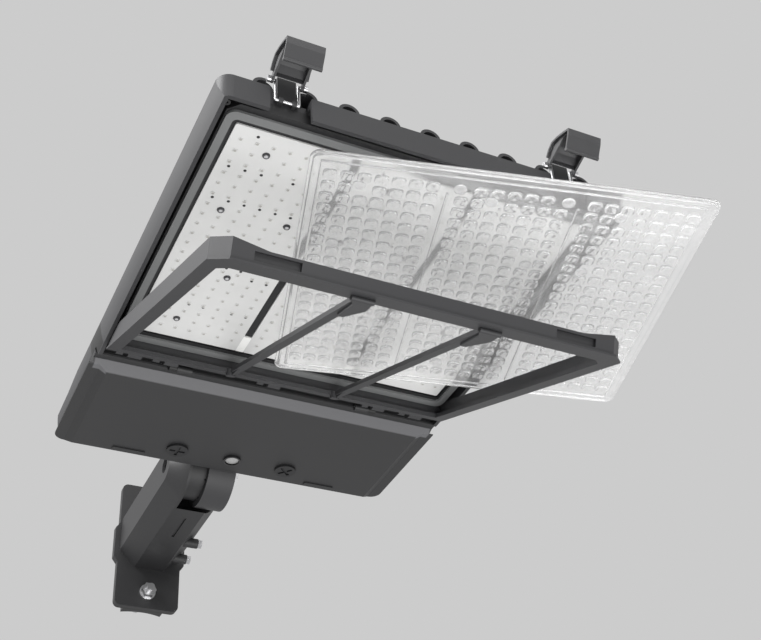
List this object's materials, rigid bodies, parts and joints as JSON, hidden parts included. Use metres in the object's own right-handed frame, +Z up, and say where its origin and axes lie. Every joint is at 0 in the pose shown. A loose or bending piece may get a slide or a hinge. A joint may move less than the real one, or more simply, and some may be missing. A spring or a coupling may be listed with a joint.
{
  "type": "shoebox area light",
  "caption": "Flat cast area light on a tilting pole arm, opened for service: hinged lens frame swung down, lens sheet drawn out, latches up.",
  "frame": {"origin": "middle of the pole face, halfway between the two studs", "axes": "+Y points from the lamp head into the pole, +Z is up, +X is to the right seen from the front"},
  "size_m": [0.5127, 0.8767, 0.2272],
  "materials": {
    "cast": "satin powder coat on die-cast aluminium",
    "seal": "matt silicone",
    "board": "white solder mask",
    "steel": "plain stainless",
    "link_plastic": "moulded",
    "black_plastic": "moulded",
    "lens": "milky clear moulding",
    "window": "white frosted disc",
    "lever": "satin powder coat on steel sheet",
    "rubber": "matt"
  },
  "bodies": {
    "mount": {"arm": "cast", "knuckle_bolt": "steel", "knuckle_washer": "steel", "knuckle_nut": "steel", "side_bolts": "steel", "pole_plate": "cast", "pole_seal": "rubber", "pole_adapter": "cast", "pole_studs": "steel", "pole_washers": "steel", "pole_nuts": "steel"},
    "head": {"housing": "cast", "lens_seal": "seal", "board_left": "board", "board_middle": "board", "board_right": "board", "board_screws": "steel", "board_links": "link_plastic", "frame_pins": "steel", "cover_pins": "steel", "screw_sockets": "cast", "compartment_seal": "seal", "driver": "black_plastic", "surge_protector": "black_plastic", "terminal_block": "link_plastic"},
    "frame": {"lens_frame": "cast", "lens_clips": "cast"},
    "loose_lens": {"lens": "lens"},
    "cover": {"driver_cover": "cast", "sensor_bezel": "black_plastic", "sensor_window": "window"},
    "screw_left": {"captive_screw_left": "cast"},
    "screw_right": {"captive_screw_right": "cast"},
    "link_left": {"latch_link_left": "steel", "latch_rollers_left": "steel"},
    "link_right": {"latch_link_right": "steel", "latch_rollers_right": "steel"},
    "lever_left": {"latch_lever_left": "lever"},
    "lever_right": {"latch_lever_right": "lever"}
  },
  "joints": [
    {"name": "head_tilt", "type": "hinge", "parent": "mount", "child": "head", "pos_m": [0, -0.199, 0.01], "axis": [1, 0, 0], "range_deg": [-30, 45]},
    {"name": "frame_hinge", "type": "hinge", "parent": "head", "child": "frame", "pos_m": [0, -0.413, -0.001], "axis": [1, 0, 0], "range_deg": [0, 67]},
    {"name": "lens_draw", "type": "slide", "parent": "frame", "child": "loose_lens", "axis": [0.9598, -0.2727, -0.066], "range_m": [0, 0.12]},
    {"name": "cover_hinge", "type": "hinge", "parent": "head", "child": "cover", "pos_m": [0, -0.3985, 0.0015], "axis": [-1, 0, 0], "range_deg": [0, 75]},
    {"name": "screw_turn_left", "type": "hinge", "parent": "cover", "child": "screw_left", "pos_m": [-0.044, -0.2665, -0.0085], "axis": [0, 0, -1], "range_deg": [0, 90]},
    {"name": "link_swing_left", "type": "hinge", "parent": "head", "child": "link_left", "pos_m": [-0.1138, -0.7642, 0.0185], "axis": [1, 0, 0], "range_deg": [0, 32]},
    {"name": "lever_throw_left", "type": "hinge", "parent": "link_left", "child": "lever_left", "pos_m": [-0.1138, -0.7642, 0.0415], "axis": [1, 0, 0], "range_deg": [0, 53]},
    {"name": "screw_turn_right", "type": "hinge", "parent": "cover", "child": "screw_right", "pos_m": [0.084, -0.2665, -0.0085], "axis": [0, 0, -1], "range_deg": [0, 90]},
    {"name": "link_swing_right", "type": "hinge", "parent": "head", "child": "link_right", "pos_m": [0.1538, -0.7642, 0.0185], "axis": [1, 0, 0], "range_deg": [0, 32]},
    {"name": "lever_throw_right", "type": "hinge", "parent": "link_right", "child": "lever_right", "pos_m": [0.1538, -0.7642, 0.0415], "axis": [1, 0, 0], "range_deg": [0, 53]}
  ]
}
